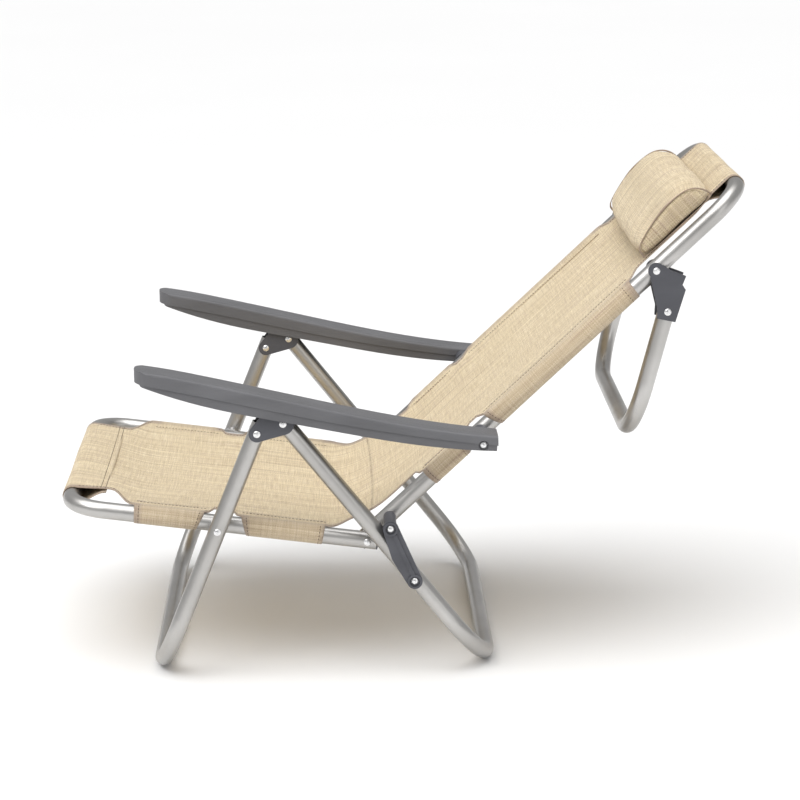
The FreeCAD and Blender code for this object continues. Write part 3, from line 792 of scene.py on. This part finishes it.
def pillow_uvs(piece):
    """Metres across and round the pillow; the end caps are laid out flat."""
    layer = piece.data.uv_layers.new(name="UVMap")
    centre = back_at(*PILLOW_MIDDLE)
    for face in piece.data.polygons:
        capped = abs(face.normal.x) > 0.75
        for index in face.loop_indices:
            place = piece.data.vertices[piece.data.loops[index].vertex_index].co
            side = Vector((place.y, place.z)) - centre
            if capped:
                layer.data[index].uv = (side.dot(BACK_WAY), side.dot(BACK_UP))
            else:
                turn = math.atan2(side.dot(BACK_UP), side.dot(BACK_WAY))
                layer.data[index].uv = (place.x, -turn * PILLOW_ROUND)
    tones = piece.data.attributes.new("edge", "FLOAT", "POINT")
    tones.data.foreach_set("value", [smooth((abs(v.co.x) - PILLOW_HALF + 0.010) / 0.003)
                                     for v in piece.data.vertices])


def make_pillow():
    ring = pillow_ring(40)
    count = len(ring)
    verts, faces = [], []
    half = PILLOW_HALF - PILLOW_END_IN
    inner = half - 0.004
    stations = [(-half, 0.90), (-inner, 1.0)]
    stations += [(lerp(-inner, inner, i / 40), 1.0) for i in range(1, 40)]
    stations += [(inner, 1.0), (half, 0.90)]
    for x, shrink in stations:
        scale = pillow_scale(x) * shrink
        for distance, height in ring:
            near = lerp(PILLOW_MIDDLE[0], distance, scale)
            rise = lerp(PILLOW_OUTLINE[-1][1], height, scale)
            verts.append(solid3(x, back_at(near, rise)))
    for i in range(len(stations) - 1):
        for k in range(count):
            a, b = i * count + k, i * count + (k + 1) % count
            faces.append((a, b, b + count, a + count))
    faces.append(tuple(range(count - 1, -1, -1)))
    faces.append(tuple(range((len(stations) - 1) * count, len(stations) * count)))
    pillow = mesh_object("head_pillow_cloth", verts, faces, PILLOW_CLOTH)
    mesh_maker = pillow.modifiers.new("even", "REMESH")
    mesh_maker.mode = "VOXEL"
    mesh_maker.voxel_size = PILLOW_MESH
    mesh_maker.use_smooth_shade = True
    apply_modifiers(pillow)
    fill_pillow(pillow)
    crease_pillow(pillow)
    finer = pillow.modifiers.new("finer", "SUBSURF")
    finer.levels = 1
    finer.render_levels = 1
    apply_modifiers(pillow)
    pillow.data.polygons.foreach_set("use_smooth", [True] * len(pillow.data.polygons))
    pillow_uvs(pillow)
    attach(pillow, "back")
    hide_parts("head_pillow")
    make_pillow_seams()


def make_pillow_seams():
    """Rolled seam round each end of the pillow."""
    ring = pillow_ring(72)
    verts, faces = [], []
    around = 8
    for side in (-1, 1):
        x = side * (PILLOW_HALF - SEAM_IN)
        first = len(verts)
        for k, (distance, height) in enumerate(ring):
            scale = pillow_scale(x)
            near = lerp(PILLOW_MIDDLE[0], distance, scale)
            centre = back_at(near, lerp(PILLOW_OUTLINE[-1][1], height, scale))
            out = (centre - back_at(*PILLOW_MIDDLE)).normalized()
            for n in range(around):
                angle = 2 * math.pi * n / around
                place = centre + out * (0.0014 + 0.0013 * math.sin(angle))
                verts.append(solid3(x + 0.0013 * math.cos(angle), place))
        for k in range(len(ring)):
            for n in range(around):
                a = first + k * around + n
                b = first + k * around + (n + 1) % around
                c = first + (k + 1) % len(ring) * around + (n + 1) % around
                d = first + (k + 1) % len(ring) * around + n
                faces.append((a, b, c, d) if side > 0 else (d, c, b, a))
    seam = mesh_object("head_pillow_seams", verts, faces, SEAM_CLOTH)
    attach(seam, "back")


# ---- stage ------------------------------------------------------------------------------------
FLOOR_HALF = 150.0
FLOOR_Z = -0.0005


def make_stage():
    corners = [(x * FLOOR_HALF, y * FLOOR_HALF, 0.0) for x, y in ((-1, -1), (1, -1), (1, 1), (-1, 1))]
    floor = mesh_object("floor", corners, [(0, 1, 2, 3)], floor_material(), False)
    floor.location.z = FLOOR_Z
    world = bpy.data.worlds.new("studio")
    bpy.context.scene.world = world
    world.use_nodes = True
    background = world.node_tree.nodes["Background"]
    background.inputs["Color"].default_value = (1.0, 1.0, 1.0, 1.0)
    background.inputs["Strength"].default_value = 0.50
    sun = bpy.data.lights.new("sky_light", "SUN")
    sun.angle = math.radians(70)
    sun.energy = 2.1
    holder = bpy.data.objects.new("sky_light", sun)
    holder.rotation_euler = (math.radians(14), math.radians(16), 0.0)
    bpy.context.scene.collection.objects.link(holder)


def area_light(name, place, target, size, power):
    lamp = bpy.data.lights.new(name, "AREA")
    lamp.shape = "RECTANGLE"
    lamp.size, lamp.size_y = size
    lamp.energy = power
    holder = bpy.data.objects.new(name, lamp)
    holder.location = place
    holder.rotation_euler = (Vector(target) - Vector(place)).to_track_quat("-Z", "Y").to_euler()
    bpy.context.scene.collection.objects.link(holder)


def make_lights():
    middle = (0.0, 0.0, 0.3)
    area_light("key", (1.6, -1.6, 2.4), middle, (1.8, 1.4), 16.0)
    area_light("top", (0.2, 0.3, 2.8), middle, (2.4, 2.0), 14.0)
    area_light("side", (2.4, 1.6, 1.2), middle, (1.4, 1.4), 6.0)


CAMERA_AT = (3.658, -0.0868, 1.1274)
CAMERA_YAW = math.radians(1.387)
CAMERA_PITCH = math.radians(12.679)
CAMERA_ROLL = math.radians(-0.501)
CAMERA_LENS = 124.0


def make_camera():
    forward = Vector((-math.cos(CAMERA_PITCH) * math.cos(CAMERA_YAW),
                      math.cos(CAMERA_PITCH) * math.sin(CAMERA_YAW), -math.sin(CAMERA_PITCH)))
    level = forward.cross(Vector((0, 0, 1))).normalized()
    upward = level.cross(forward)
    right = level * math.cos(CAMERA_ROLL) + upward * math.sin(CAMERA_ROLL)
    up = upward * math.cos(CAMERA_ROLL) - level * math.sin(CAMERA_ROLL)
    data = bpy.data.cameras.new("camera")
    data.lens = CAMERA_LENS
    data.sensor_width = 36.0
    camera = bpy.data.objects.new("camera", data)
    turned = Matrix((right, up, -forward)).transposed().to_4x4()
    turned.translation = Vector(CAMERA_AT)
    camera.matrix_world = turned
    bpy.context.scene.collection.objects.link(camera)
    bpy.context.scene.camera = camera


dress_frame()
make_sling()
make_stitching()
make_pillow()
make_stage()
make_lights()
make_camera()
bpy.context.scene.view_settings.view_transform = "Standard"
